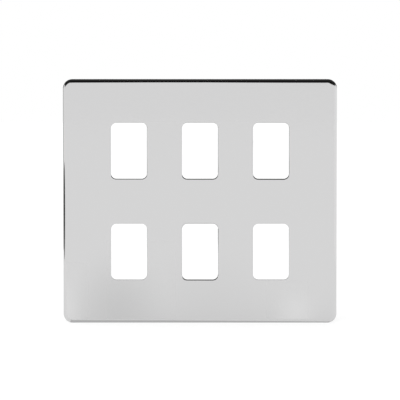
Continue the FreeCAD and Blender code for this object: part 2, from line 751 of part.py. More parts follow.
def make_screw(label, seat, diameter, length, head_diameter, head_height, head_bevel):
    """Turn a slotted screw about its own axis. seat is the depth of the face under the head."""
    body = new_body(label)
    profile = new_sketch(body, label + "_profile", "XY_Plane")
    under_head = -seat
    top = under_head - head_height
    tip = under_head + length
    thread_end = under_head + size.screw_neck_length
    draw_polygon(
        profile,
        [
            (NOTHING, top),
            (head_diameter / 2 - head_bevel, top),
            (head_diameter / 2, top + head_bevel),
            (head_diameter / 2, under_head),
            (size.screw_neck_diameter / 2, under_head),
            (size.screw_neck_diameter / 2, thread_end),
            (diameter / 2, thread_end),
            (diameter / 2, tip - size.screw_tip_bevel),
            (diameter / 2 - size.screw_tip_bevel, tip),
            (NOTHING, tip),
        ],
    )
    turn_profile(body, label + "_blank", profile)
    driver = new_sketch(body, label + "_driver", lift=seat + head_height)
    draw_rectangle(driver, 2 * head_diameter, size.screw_slot_width)
    add_pocket(body, label + "_slot", driver, size.screw_slot_depth)
    return body


def make_fixing_screws():
    """Four equal fixing screws, one at each slot of the yoke: one screw, mirrored twice."""
    screw = make_screw(
        "fixing_screw",
        size.yoke_thickness,
        size.screw_diameter,
        size.screw_length,
        size.screw_head_diameter,
        size.screw_head_height,
        size.screw_head_bevel,
    )
    place_body(screw, fixing_across, fixing_up)
    group = screw
    for name, normal in (("across", Vector(1, 0, 0)), ("up", Vector(0, 0, 1))):
        mirrored = document.addObject("Part::Mirroring", "mirrored_" + name)
        mirrored.Source = group
        mirrored.Normal = normal
        pair = document.addObject("Part::Compound", "screws_" + name)
        pair.Links = [group, mirrored]
        group = pair
    group.Label = "fixing_screws"
    document.recompute()
    return group


def make_earth_terminal():
    """Brass block with a hole for the earth wires, riveted to the yoke by a turned neck."""
    body = new_body("earth_terminal")
    outline = new_sketch(body, "block_outline")
    draw_rectangle(outline, size.terminal_width, size.terminal_height, terminal_place)
    block = add_pad(body, "terminal_block", outline, size.terminal_depth, to_wall=True)
    back = edges_where(block, lambda edge: lies_at(edge, -size.terminal_depth))
    add_chamfer(body, "block_edges", block, back, size.terminal_edge_bevel)

    neck = new_sketch(body, "neck_outline")
    draw_circle(neck, size.spigot_diameter, terminal_place)
    add_pad(body, "neck", neck, size.yoke_thickness)
    head = new_sketch(body, "head_outline", lift=size.yoke_thickness)
    draw_circle(head, size.spigot_head_diameter, terminal_place)
    add_pad(body, "riveted_head", head, size.spigot_head_height)

    bore = new_sketch(body, "wire_outline", "YZ_Plane")
    draw_circle(bore, size.wire_bore_diameter, size.wire_bore_inset)
    add_pocket(body, "wire_bore", bore)
    thread = new_sketch(body, "thread_outline", lift=-size.terminal_depth)
    draw_circle(thread, size.terminal_screw_diameter + 2 * size.rivet_clearance, terminal_place)
    screw_hole_depth = size.terminal_depth - size.wire_bore_inset
    add_pocket(body, "screw_hole", thread, screw_hole_depth, to_front=True)
    return body


def make_earth_terminal_screw():
    """Cheese-head screw that clamps the earth wires, entered from the wall side of the block."""
    screw = make_screw(
        "earth_terminal_screw",
        terminal_screw_tip + size.terminal_screw_length,
        size.terminal_screw_diameter,
        size.terminal_screw_length,
        size.terminal_head_diameter,
        size.terminal_head_height,
        size.terminal_edge_bevel,
    )
    screw.Placement.Rotation = FreeCAD.Rotation(Vector(0, 0, 1), 180)
    place_body(screw, terminal_place)
    document.recompute()
    return screw


def make_earth_spring():
    """Leaf spring bent from strip: a foot on the yoke, a rising arm, and a turned-back end."""
    body = new_body("earth_spring")
    foot_depth = size.yoke_thickness + size.spring_thickness / 2
    crest_depth = face_back - size.spring_contact_gap - size.spring_thickness / 2
    bend_level = spring_base + size.spring_foot_length
    crest_level = bend_level + size.spring_arm_length
    end_level = crest_level + size.spring_tail_length
    path = new_sketch(body, "spring_path", "YZ_Plane", spring_place)
    draw_bent_line(
        path,
        [
            (-foot_depth, spring_base),
            (-foot_depth, bend_level),
            (-crest_depth, crest_level),
            (size.spring_tail_drop - crest_depth, end_level),
        ],
        size.spring_bend_radius,
    )
    section = new_sketch(body, "spring_section", "XY_Plane", spring_base)
    draw_rectangle(section, size.spring_width, size.spring_thickness, spring_place, -foot_depth)
    strip = body.newObject("PartDesign::AdditivePipe", "strip")
    strip.Profile = section
    edges = [f"Edge{number}" for number in range(1, len(path.Shape.Edges) + 1)]
    strip.Spine = (path, edges)
    document.recompute()

    hole = new_sketch(body, "foot_hole")
    draw_circle(hole, size.rivet_diameter + 2 * size.rivet_clearance, spring_place, rivet_level)
    add_pocket(body, "rivet_hole", hole)
    return body


def make_spring_rivet():
    """Rivet through the spring's foot and the yoke, with its end formed over behind."""
    body = new_body("spring_rivet")
    profile = new_sketch(body, "rivet_profile", "XY_Plane")
    seat = -(size.yoke_thickness + size.spring_thickness)
    top = seat - size.rivet_head_height
    draw_polygon(
        profile,
        [
            (NOTHING, top),
            (size.rivet_head_diameter / 2 - size.rivet_head_bevel, top),
            (size.rivet_head_diameter / 2, top + size.rivet_head_bevel),
            (size.rivet_head_diameter / 2, seat),
            (size.rivet_diameter / 2, seat),
            (size.rivet_diameter / 2, NOTHING),
            (size.rivet_tail_diameter / 2, NOTHING),
            (size.rivet_tail_diameter / 2, size.rivet_tail_height),
            (NOTHING, size.rivet_tail_height),
        ],
    )
    turn_profile(body, "rivet_blank", profile)
    place_body(body, spring_place, rivet_level)
    document.recompute()
    return body


def check_features():
    """Stop if a feature failed, or if a cut took nothing away or a pad added nothing."""
    for item in document.Objects:
        if "Invalid" in item.State or "Error" in item.State:
            raise RuntimeError(f"{item.Label} failed: {item.State}")
        base = getattr(item, "BaseFeature", None)
        if item.TypeId == "PartDesign::Pocket" and item.Shape.Volume >= base.Shape.Volume:
            raise RuntimeError(f"{item.Label} cut nothing")
        if item.TypeId == "PartDesign::Pad" and base and item.Shape.Volume <= base.Shape.Volume:
            raise RuntimeError(f"{item.Label} added nothing")


def write_pieces(pieces):
    """Check each piece and write it to its own file."""
    os.makedirs("parts", exist_ok=True)
    for piece in pieces:
        shape = piece.Shape
        if shape.isNull() or not shape.isValid() or not shape.Solids:
            raise RuntimeError(f"{piece.Label} is not a sound solid")
        shape.exportStep(f"parts/{piece.Label}.step")
        print(piece.Label, len(shape.Solids), "solid(s)", round(shape.Volume, 1), "mm3")


write_sizes()
pieces = [
    make_face_plate(),
    make_clip_frame(),
    make_grid_yoke(),
    make_fixing_screws(),
    make_earth_terminal(),
    make_earth_terminal_screw(),
    make_earth_spring(),
    make_spring_rivet(),
]
document.recompute()
check_features()
write_pieces(pieces)
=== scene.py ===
import math

import bmesh
import bpy
from mathutils import Matrix, Vector


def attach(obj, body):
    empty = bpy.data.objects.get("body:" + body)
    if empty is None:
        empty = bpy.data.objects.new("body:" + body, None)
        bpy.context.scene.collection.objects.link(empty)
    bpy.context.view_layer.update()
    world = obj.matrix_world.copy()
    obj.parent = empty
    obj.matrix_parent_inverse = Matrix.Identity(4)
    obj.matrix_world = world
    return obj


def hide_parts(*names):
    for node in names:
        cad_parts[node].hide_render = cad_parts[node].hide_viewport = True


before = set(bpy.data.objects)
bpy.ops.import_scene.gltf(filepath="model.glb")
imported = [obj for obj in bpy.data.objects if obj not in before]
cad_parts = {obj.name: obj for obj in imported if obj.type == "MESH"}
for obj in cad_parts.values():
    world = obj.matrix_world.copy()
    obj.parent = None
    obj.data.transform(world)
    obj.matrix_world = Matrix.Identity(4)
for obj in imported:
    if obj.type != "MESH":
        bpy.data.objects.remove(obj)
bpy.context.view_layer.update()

# Face plate. One blank of sheet steel, pressed into a shallow tray with a small round bend, with
# six openings punched through it, then polished and chromium plated. Its back keeps the satin
# look of the plated sheet, because only the front meets the polishing wheel.

MM = 0.001
plate_width = 147
plate_height = 131
plate_depth = 5
sheet_thickness = 1
plate_corner = 5
rim_bend = 2
rim_bend_steps = 12
rim_edge_round = 0.2
rim_edge_steps = 3
inner_bend = 0.5
inner_bend_steps = 4
opening_width = 19.2
opening_height = 30
opening_corner = 2.8
opening_edge_steps = 6
opening_back_round = 0.1
opening_back_steps = 2
column_pitch = 38.1
row_pitch = 54.2
pry_notch_half = 6
pry_notch_depth = 1.6
pry_notch_corner = 0.5
pry_notch_steps = 5
chrome_colour = (0.648, 0.647, 0.649)
sheet_back_colour = (0.55, 0.555, 0.56)

# How far the polishing wheel has rounded the edge of each opening, left to right.
upper_edge_rounds = (0.46, 0.56, 0.6)
lower_edge_rounds = (0.2, 0.7, 0.2)


def quarter_turn(steps):
    """Give the angles of a quarter turn in equal steps, with both ends."""
    return [math.radians(90 * step / steps) for step in range(steps + 1)]


def rounded_ring(mesh, width, height, radius, depth, across=0, up=0, bottom_points=()):
    """Lay the corners of a rounded rectangle at one depth, anticlockwise from the right.

    Each bottom point is a place along the lower side and how far it is lifted off that depth.
    """
    corner_steps = 14
    places = []
    for quarter, (side, end) in enumerate(((1, 1), (-1, 1), (-1, -1), (1, -1))):
        for step in range(corner_steps + 1):
            angle = math.radians(90) * (quarter + step / corner_steps)
            places.append((
                across + side * (width / 2 - radius) + radius * math.cos(angle),
                depth,
                up + end * (height / 2 - radius) + radius * math.sin(angle),
            ))
        if (side, end) == (-1, -1):
            places += [(place, depth - lift, up - height / 2) for place, lift in bottom_points]
    return [mesh.verts.new(Vector(place) * MM) for place in places]


def join_rings(mesh, rings):
    """Close the strips between rings that have as many corners."""
    for near, far in zip(rings, rings[1:]):
        for place in range(len(near)):
            after = (place + 1) % len(near)
            mesh.faces.new((near[place], near[after], far[after], far[place]))


def fill_between(mesh, rings):
    """Lay a flat sheet inside the first ring, with the others as holes in it."""
    edges = []
    for ring in rings:
        for place in range(len(ring)):
            edges.append(mesh.edges.get((ring[place], ring[(place + 1) % len(ring)])))
    bmesh.ops.triangle_fill(mesh, use_beauty=True, edges=edges)


def finish_piece(mesh, name, finishes, sharp_angle=35):
    """Turn a built mesh into a piece with smooth rounds and clean flats."""
    bmesh.ops.recalc_face_normals(mesh, faces=mesh.faces)
    shape = bpy.data.meshes.new(name)
    mesh.to_mesh(shape)
    mesh.free()
    for finish in finishes:
        shape.materials.append(finish)
    shape.polygons.foreach_set("use_smooth", [True] * len(shape.polygons))
    shape.set_sharp_from_angle(angle=math.radians(sharp_angle))
    piece = bpy.data.objects.new(name, shape)
    bpy.context.scene.collection.objects.link(piece)
    flats = piece.modifiers.new("flat_faces", "WEIGHTED_NORMAL")
    flats.keep_sharp = True
    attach(piece, "root")
    return piece


def new_finish(name, colour, metallic, roughness):
    """Start a finish with its plain values on the shader's own sockets."""
    finish = bpy.data.materials.new(name)
    finish.use_nodes = True
    sockets = finish.node_tree.nodes["Principled BSDF"].inputs
    sockets["Base Color"].default_value = (*colour, 1)
    sockets["Metallic"].default_value = metallic
    sockets["Roughness"].default_value = roughness
    return finish


def add_noise(finish, blotch, stretch=(1, 1, 1), detail=2):
    """Lay a noise over the piece with blotches of that size in millimetres, drawn out by axis."""
    nodes = finish.node_tree.nodes
    links = finish.node_tree.links
    place = nodes.new("ShaderNodeTexCoord")
    mapping = nodes.new("ShaderNodeMapping")
    mapping.inputs["Scale"].default_value = [1 / (blotch * MM * drawn) for drawn in stretch]
    noise = nodes.new("ShaderNodeTexNoise")
    noise.inputs["Scale"].default_value = 1
    noise.inputs["Detail"].default_value = detail
    links.new(place.outputs["Object"], mapping.inputs["Vector"])
    links.new(mapping.outputs["Vector"], noise.inputs["Vector"])
    return noise.outputs["Fac"]


# A noise hardly ever leaves this range, so a finish goes from one end to the other over it.
noise_low = 0.3
noise_high = 0.7


def vary_roughness(finish, noise, low, high):
    """Let a noise carry the roughness between two ends."""
    spread = finish.node_tree.nodes.new("ShaderNodeMapRange")
    spread.inputs["From Min"].default_value = noise_low
    spread.inputs["From Max"].default_value = noise_high
    spread.inputs["To Min"].default_value = low
    spread.inputs["To Max"].default_value = high
    shader = finish.node_tree.nodes["Principled BSDF"]
    finish.node_tree.links.new(noise, spread.inputs["Value"])
    finish.node_tree.links.new(spread.outputs["Result"], shader.inputs["Roughness"])


def vary_colour(finish, noise, first, second):
    """Let a noise carry the colour between two shades."""
    ramp = finish.node_tree.nodes.new("ShaderNodeValToRGB")
    ramp.color_ramp.elements[0].position = noise_low
    ramp.color_ramp.elements[0].color = (*first, 1)
    ramp.color_ramp.elements[1].position = noise_high
    ramp.color_ramp.elements[1].color = (*second, 1)
    shader = finish.node_tree.nodes["Principled BSDF"]
    finish.node_tree.links.new(noise, ramp.inputs["Fac"])
    finish.node_tree.links.new(ramp.outputs["Color"], shader.inputs["Base Color"])


def raise_relief(finish, noise, height, under=None):
    """Give the surface a relief of that height in millimetres, over another one if there is."""
    bump = finish.node_tree.nodes.new("ShaderNodeBump")
    bump.inputs["Strength"].default_value = 1
    bump.inputs["Distance"].default_value = height * MM
    shader = finish.node_tree.nodes["Principled BSDF"]
    finish.node_tree.links.new(noise, bump.inputs["Height"])
    if under:
        finish.node_tree.links.new(under, bump.inputs["Normal"])
    finish.node_tree.links.new(bump.outputs["Normal"], shader.inputs["Normal"])
    return bump.outputs["Normal"]


chrome = new_finish("polished_chrome_plate", chrome_colour, metallic=1, roughness=0.05)
vary_roughness(chrome, add_noise(chrome, blotch=22, detail=3), low=0.03, high=0.07)
raise_relief(chrome, add_noise(chrome, blotch=9), height=0.0008)

sheet_back = new_finish("satin_back_of_sheet", sheet_back_colour, metallic=1, roughness=0.32)
brushing = add_noise(sheet_back, blotch=1.2, stretch=(14, 1, 1))
vary_roughness(sheet_back, brushing, low=0.26, high=0.42)
raise_relief(sheet_back, add_noise(sheet_back, blotch=0.6, stretch=(20, 1, 1)), height=0.004)


def notch_lift(place):
    """Tell how far the pry notch lifts the free edge of the rim there, with rounded ends."""
    share = min(max((pry_notch_half - abs(place)) / pry_notch_corner, 0), 1)
    return pry_notch_depth * math.sin(share * math.pi / 2)


notch_end = [
    pry_notch_half - pry_notch_corner * step / pry_notch_steps
    for step in range(pry_notch_steps + 1)
]
notch_places = [-place for place in notch_end] + notch_end[::-1]


def plate_ring(mesh, inset, depth, notched=False):
    """Lay one ring of the tray, that far in from the outline."""
    return rounded_ring(
        mesh,
        plate_width - 2 * inset,
        plate_height - 2 * inset,
        plate_corner - inset,
        depth,
        bottom_points=[(place, notch_lift(place) if notched else 0) for place in notch_places],
    )


# The rings run from the face round the outer bend, over the free edge, and back up the inside.
plate_mesh = bmesh.new()
tray = []
for turned in quarter_turn(rim_bend_steps):
    tray.append(plate_ring(
        plate_mesh,
        rim_bend * (1 - math.sin(turned)),
        -plate_depth + rim_bend * (1 - math.cos(turned)),
    ))
for turned in quarter_turn(rim_edge_steps):
    tray.append(plate_ring(
        plate_mesh,
        rim_edge_round * (1 - math.cos(turned)),
        -rim_edge_round * (1 - math.sin(turned)),
        notched=True,
    ))
for turned in quarter_turn(rim_edge_steps):
    tray.append(plate_ring(
        plate_mesh,
        sheet_thickness - rim_edge_round * (1 - math.sin(turned)),
        -rim_edge_round * (1 - math.cos(turned)),
        notched=True,
    ))
sheet_back_depth = -plate_depth + sheet_thickness
for turned in quarter_turn(inner_bend_steps):
    tray.append(plate_ring(
        plate_mesh,
        sheet_thickness + inner_bend * (1 - math.cos(turned)),
        sheet_back_depth + inner_bend * (1 - math.sin(turned)),
    ))
join_rings(plate_mesh, tray)

front_rings = [tray[0]]
back_rings = [tray[-1]]
for row, edge_rounds in ((1, upper_edge_rounds), (-1, lower_edge_rounds)):
    for column, edge_round in zip((-1, 0, 1), edge_rounds):
        edge = []
        for turned in quarter_turn(opening_edge_steps):
            edge.append((
                edge_round * (1 - math.sin(turned)),
                -plate_depth + edge_round * (1 - math.cos(turned)),
            ))
        for turned in quarter_turn(opening_back_steps):
            edge.append((
                opening_back_round * (1 - math.cos(turned)),
                sheet_back_depth - opening_back_round * (1 - math.sin(turned)),
            ))
        rings = [
            rounded_ring(
                plate_mesh,
                opening_width + 2 * outset,
                opening_height + 2 * outset,
                opening_corner + outset,
                depth,
                column * column_pitch,
                row * row_pitch / 2,
            )
            for outset, depth in edge
        ]
        join_rings(plate_mesh, rings)
        front_rings.append(rings[0])
        back_rings.append(rings[-1])
fill_between(plate_mesh, front_rings)
fill_between(plate_mesh, back_rings)

# The inside of the tray is satin: all that lies within its walls, from the sheet's back on.
wall_band = sheet_thickness - 0.1
depth_slack = 0.01
for face in plate_mesh.faces:
    middle = face.calc_center_median() / MM
    within_walls = (
        abs(middle.x) < plate_width / 2 - wall_band
        and abs(middle.z) < plate_height / 2 - wall_band
    )
    if within_walls and middle.y > sheet_back_depth - depth_slack:
        face.material_index = 1
face_plate = finish_piece(plate_mesh, "face_plate_pressed", [chrome, sheet_back])
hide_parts("face_plate")

# Clip frame. Moulded in black ABS with a fine spark-eroded grain, and bonded into the back of the
# face plate. Its eight snap hooks pass through the yoke, and its ribs keep the thin web flat.

moulding_colour = (0.028, 0.028, 0.03)
moulding_dark = (0.024, 0.024, 0.026)
moulding_light = (0.034, 0.034, 0.036)
moulding = new_finish("black_moulded_frame", moulding_colour, metallic=0, roughness=0.5)
vary_roughness(moulding, add_noise(moulding, blotch=7, detail=3), low=0.42, high=0.58)
vary_colour(moulding, add_noise(moulding, blotch=18), moulding_dark, moulding_light)
sink = raise_relief(moulding, add_noise(moulding, blotch=3, detail=1), height=0.01)
raise_relief(moulding, add_noise(moulding, blotch=0.12), height=0.006, under=sink)
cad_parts["clip_frame"].material_slots[0].material = moulding

# Grid yoke. Punched from steel strip, with stiffening beads pressed into it, and bright zinc
# plated. The rolling direction runs level, and the passivated zinc is faintly cloudy.

yoke_colour = (0.6, 0.62, 0.645)
yoke_dull = (0.56, 0.58, 0.61)
yoke_bright = (0.66, 0.67, 0.675)
yoke_zinc = new_finish("bright_zinc_yoke", yoke_colour, metallic=1, roughness=0.3)
vary_colour(yoke_zinc, add_noise(yoke_zinc, blotch=9, detail=3), yoke_dull, yoke_bright)
cloud = add_noise(yoke_zinc, blotch=5, stretch=(3, 1, 1), detail=4)
vary_roughness(yoke_zinc, cloud, low=0.22, high=0.4)
rolling = add_noise(yoke_zinc, blotch=0.35, stretch=(30, 1, 1))
rolled = raise_relief(yoke_zinc, rolling, height=0.003)
raise_relief(yoke_zinc, add_noise(yoke_zinc, blotch=4), height=0.006, under=rolled)
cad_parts["grid_yoke"].material_slots[0].material = yoke_zinc

# Fixing screws. Four M3.5 pan-head machine screws with a driver slot, rolled thread and bright
# zinc plating. They pass through the yoke's slots into the lugs of the wall box.

screw_across = 60.3
screw_up = 30.15
yoke_front = -1.2
fixing_length = 20
thread_diameter = 3.5
thread_pitch = 0.6
depth_per_pitch = 0.54
thread_depth = depth_per_pitch * thread_pitch
thread_root = thread_diameter / 2 - thread_depth
neck_diameter = 3.1
neck_length = 1.5
tip_length = 0.6
slot_width = 1
slot_depth = 0.9
turn_steps = 24
head_round_steps = 6

# A head is given by its diameter, its height and the round of its rim.
pan_head = (7, 2.1, 1.3)

screw_colour = (0.62, 0.63, 0.65)
screw_dull = (0.58, 0.59, 0.61)
screw_bright = (0.67, 0.675, 0.68)
screw_zinc = new_finish("bright_zinc_screws", screw_colour, metallic=1, roughness=0.26)
vary_colour(screw_zinc, add_noise(screw_zinc, blotch=2.5), screw_dull, screw_bright)
vary_roughness(screw_zinc, add_noise(screw_zinc, blotch=1.2, detail=3), low=0.18, high=0.34)
raise_relief(screw_zinc, add_noise(screw_zinc, blotch=0.5), height=0.003)


def head_profile(head_diameter, head_height, head_round):
    """Give radius and place along the screw for each ring, from the crown down to the thread."""
    crown_edge = head_diameter / 2 - head_round
    crown_fall_half_way = 0.02
    crown_fall = 0.06
    rim_margin = 0.26
    round_share = 0.62
    round_length = (head_height - rim_margin) * round_share
    underside_edge = 0.15
    underside_round = 0.04
    neck_fillet = 0.1
    profile = [
        (crown_edge * 0.5, crown_fall_half_way - head_height),
        (crown_edge, crown_fall - head_height),
    ]
    for turned in quarter_turn(head_round_steps)[1:]:
        profile.append((
            crown_edge + head_round * math.sin(turned),
            crown_fall - head_height + round_length * (1 - math.cos(turned)),
        ))
    return profile + [
        (head_diameter / 2, -underside_edge),
        (head_diameter / 2 - underside_round, -underside_round),
        (head_diameter / 2 - underside_edge, 0),
        (neck_diameter / 2 + neck_fillet, 0),
        (neck_diameter / 2, neck_fillet),
        (neck_diameter / 2, neck_length - neck_fillet),
        (thread_root, neck_length),
    ]


def thread_flight(turn, thread_end):
    """Give radius and place along the screw for the four corners of the thread at that turn."""
    crest_flat = 0.14
    root_flat = 0.2
    run_out_turn = 0.4
    run_out_length = run_out_turn * thread_pitch
    ridge = (
        (0, 0),
        (0.5 - root_flat / 2 - crest_flat / 2, 1),
        (0.5 - root_flat / 2 + crest_flat / 2, 1),
        (1 - root_flat, 0),
    )
    corners = []
    for share, height in ridge:
        along = neck_length + (turn - 1 + share) * thread_pitch
        kept = min(max(along, neck_length), thread_end)
        run_in = min(max((kept - neck_length) / thread_pitch, 0), 1)
        run_out = min(max((thread_end - kept) / run_out_length, 0), 1)
        corners.append((thread_root + thread_depth * height * min(run_in, run_out), kept))
    return corners


def cut_driver_slot(screw, seat, facing, head, across, up):
    """Cut the slot into the head while the screw is on the axis, then set the screw in place."""
    head_diameter, head_height, _ = head
    blade_play = 1
    blade_height = slot_depth + blade_play
    blade_middle = slot_depth - head_height - blade_height / 2
    blade_mesh = bmesh.new()
    bmesh.ops.create_cube(blade_mesh, size=1)
    for vert in blade_mesh.verts:
        vert.co = Vector((
            vert.co.x * (head_diameter + blade_play),
            seat + facing * (vert.co.y * blade_height + blade_middle),
            vert.co.z * slot_width,
        )) * MM
    bmesh.ops.recalc_face_normals(blade_mesh, faces=blade_mesh.faces)
    blade_shape = bpy.data.meshes.new("driver_blade")
    blade_mesh.to_mesh(blade_shape)
    blade_mesh.free()
    blade = bpy.data.objects.new("driver_blade", blade_shape)
    bpy.context.scene.collection.objects.link(blade)
    cut = screw.modifiers.new("driver_slot", "BOOLEAN")
    cut.object = blade
    cut.solver = "EXACT"
    screw.modifiers.move(len(screw.modifiers) - 1, 0)
    bpy.context.view_layer.update()
    cut_shape = bpy.data.meshes.new_from_object(
        screw.evaluated_get(bpy.context.evaluated_depsgraph_get())
    )
    cut_shape.transform(Matrix.Translation(Vector((across, 0, up)) * MM))
    screw.modifiers.clear()
    screw.data = cut_shape
    bpy.data.objects.remove(blade)


def roll_screw(name, seat, facing, length, head, across, up):
    """Head, neck and rolled thread of one screw. Facing is 1 where it is driven to the wall."""
    thread_end = length - tip_length
    tip_taper = 0.35
    tip_round = 0.1
    tip_flat_inset = 0.5
    weld_distance = 0.002
    speck = 0.001
    mesh = bmesh.new()

    def place_point(angle, radius, along):
        """Put a corner by its turn, radius and place along the screw."""
        return mesh.verts.new(Vector((
            radius * math.cos(angle),
            seat + facing * along,
            radius * math.sin(angle),
        )) * MM)

    def lay_rings(profile):
        """Lay the round rings of a turned length and close the strips between them."""
        rings = [
            [
                place_point(2 * math.pi * step / turn_steps, radius, along)
                for step in range(turn_steps)
            ]
            for radius, along in profile
        ]
        join_rings(mesh, rings)
        return rings

    head_rings = lay_rings(head_profile(*head))
    crown = place_point(0, 0, -head[1])
    for step in range(turn_steps):
        after = (step + 1) % turn_steps
        mesh.faces.new((crown, head_rings[0][step], head_rings[0][after]))

    thread_turns = math.ceil((thread_end - neck_length) / thread_pitch) + 2
    thread_steps = thread_turns * turn_steps
    flights = []
    for step in range(thread_steps + 1):
        angle = 2 * math.pi * step / turn_steps
        corners = thread_flight(step / turn_steps, thread_end)
        flights.append([place_point(angle, radius, along) for radius, along in corners])
    for step in range(thread_steps):
        for corner in range(3):
            mesh.faces.new((
                flights[step][corner],
                flights[step][corner + 1],
                flights[step + 1][corner + 1],
                flights[step + 1][corner],
            ))
        next_turn = step + turn_steps
        if next_turn + 1 <= thread_steps:
            mesh.faces.new((
                flights[step][3],
                flights[next_turn][0],
                flights[next_turn + 1][0],
                flights[step + 1][3],
            ))
    tip = lay_rings([
        (thread_root, thread_end),
        (thread_root - tip_taper, length - tip_round),
        (thread_root - tip_flat_inset, length),
    ])
    mesh.faces.new(tip[-1])
    bmesh.ops.remove_doubles(mesh, verts=mesh.verts, dist=weld_distance * MM)
    bmesh.ops.dissolve_degenerate(mesh, edges=mesh.edges, dist=speck * MM)
    loose = [vert for vert in mesh.verts if not vert.link_faces]
    bmesh.ops.delete(mesh, geom=loose, context="VERTS")
    screw = finish_piece(mesh, name, [screw_zinc], sharp_angle=40)
    cut_driver_slot(screw, seat, facing, head, across, up)
    return screw


for end, level in (("upper", 1), ("lower", -1)):
    for side, hand in (("left", -1), ("right", 1)):
        screw = roll_screw(
            f"fixing_screw_{end}_{side}",
            seat=yoke_front,
            facing=1,
            length=fixing_length,
            head=pan_head,
            across=hand * screw_across,
            up=level * screw_up,
        )
        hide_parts("fixing_screws")

# Earth terminal. A block sawn from drawn brass bar, bored for the earth wires, and riveted to the
# yoke by its turned neck. The saw and drill leave fine marks across the bar.

brass_colour = (0.76, 0.57, 0.27)
brass_dull = (0.7, 0.5, 0.22)
brass_bright = (0.82, 0.63, 0.33)
brass = new_finish("machined_brass", brass_colour, metallic=1, roughness=0.28)
vary_colour(brass, add_noise(brass, blotch=3, detail=3), brass_dull, brass_bright)
drawing = add_noise(brass, blotch=0.6, stretch=(12, 1, 1))
vary_roughness(brass, drawing, low=0.2, high=0.38)
sawing = add_noise(brass, blotch=0.25, stretch=(1, 1, 18))
raise_relief(brass, sawing, height=0.004)
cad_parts["earth_terminal"].material_slots[0].material = brass

# Earth terminal screw. A short slotted cheese-head screw that clamps the earth wires. It comes
# backed out, and is driven from the wall side of the block.

clamp_across = -19.05
clamp_seat = 11
clamp_length = 5.5
cheese_head = (6, 2.4, 0.5)
terminal_screw = roll_screw(
    "earth_clamp_screw",
    seat=clamp_seat,
    facing=-1,
    length=clamp_length,
    head=cheese_head,
    across=clamp_across,
    up=0,
)
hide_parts("earth_terminal_screw")

# Earth spring. A strip of phosphor bronze, bent so that its crest bears on the back of the metal
# face plate and earths it through the yoke.

bronze_colour = (0.7, 0.44, 0.25)
bronze_dark = (0.64, 0.38, 0.2)
bronze_bright = (0.76, 0.5, 0.3)
bronze = new_finish("phosphor_bronze_strip", bronze_colour, metallic=1, roughness=0.24)
tarnish = add_noise(bronze, blotch=2.5, stretch=(1, 1, 3))
vary_colour(bronze, tarnish, bronze_dark, bronze_bright)
streaks = add_noise(bronze, blotch=0.3, stretch=(1, 1, 25))
vary_roughness(bronze, streaks, low=0.18, high=0.32)
rolling = add_noise(bronze, blotch=0.2, stretch=(1, 1, 30))
raise_relief(bronze, rolling, height=0.002)
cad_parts["earth_spring"].material_slots[0].material = bronze

# Spring rivet. A nickel-plated steel rivet that holds the foot of the spring, with its formed end
# behind the yoke.

nickel_colour = (0.62, 0.6, 0.56)
nickel_dull = (0.58, 0.56, 0.52)
nickel_bright = (0.66, 0.645, 0.61)
nickel = new_finish("nickel_plated_rivet", nickel_colour, metallic=1, roughness=0.2)
vary_colour(nickel, add_noise(nickel, blotch=1.5), nickel_dull, nickel_bright)
vary_roughness(nickel, add_noise(nickel, blotch=0.7, detail=3), low=0.14, high=0.28)
raise_relief(nickel, add_noise(nickel, blotch=0.6), height=0.003)
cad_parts["spring_rivet"].material_slots[0].material = nickel

# Camera. A long lens straight in front and a little above the middle of the plate, as in the
# photograph. The picture takes in 215 mm at the face.

scene = bpy.context.scene
camera_distance = 1.3
camera_elevation = math.radians(2.6)
frame_across = 0.21465
sensor = 36
aim_up = 0.0007
view_end = 50
aim = Vector((0, -plate_depth * MM, aim_up))
lens = bpy.data.cameras.new("camera")
lens.sensor_width = sensor
lens.lens = sensor * camera_distance / frame_across
lens.clip_end = view_end
camera = bpy.data.objects.new("camera", lens)
back = Vector((0, -math.cos(camera_elevation), math.sin(camera_elevation)))
camera.location = aim + back * camera_distance
camera.rotation_euler = (-back).to_track_quat("-Z", "Y").to_euler()
scene.collection.objects.link(camera)
scene.camera = camera
scene.view_settings.view_transform = "Standard"

# Surround and floor. White all round and a pale floor under the plate, as in the photograph. Both
# look lighter to the camera and in gloss than the light they throw on the object.

surround_light = 0.5
floor_level = -plate_height / 2 * MM
floor_reach = 8
floor_colour = (0.35, 0.35, 0.35, 1)
floor_roughness = 0.9
floor_glow = 0.74
floor_gloss_glow = 0.685
white = (1, 1, 1, 1)


def largest_ray(tree, rays):
    """Give 1 for a ray of any of those kinds."""
    path = tree.nodes.new("ShaderNodeLightPath")
    total = path.outputs[rays[0]]
    for ray in rays[1:]:
        larger = tree.nodes.new("ShaderNodeMath")
        larger.operation = "MAXIMUM"
        tree.links.new(total, larger.inputs[0])
        tree.links.new(path.outputs[ray], larger.inputs[1])
        total = larger.outputs["Value"]
    return total


world = bpy.data.worlds.new("white_surround")
world.use_nodes = True
scene.world = world
surround_tree = world.node_tree
surround = surround_tree.nodes["Background"]
surround.inputs["Color"].default_value = white
surround_level = surround_tree.nodes.new("ShaderNodeMapRange")
surround_level.inputs["To Min"].default_value = surround_light
surround_level.inputs["To Max"].default_value = 1
surround_tree.links.new(
    largest_ray(surround_tree, ("Is Camera Ray", "Is Glossy Ray", "Is Transmission Ray")),
    surround_level.inputs["Value"],
)
surround_tree.links.new(surround_level.outputs["Result"], surround.inputs["Strength"])

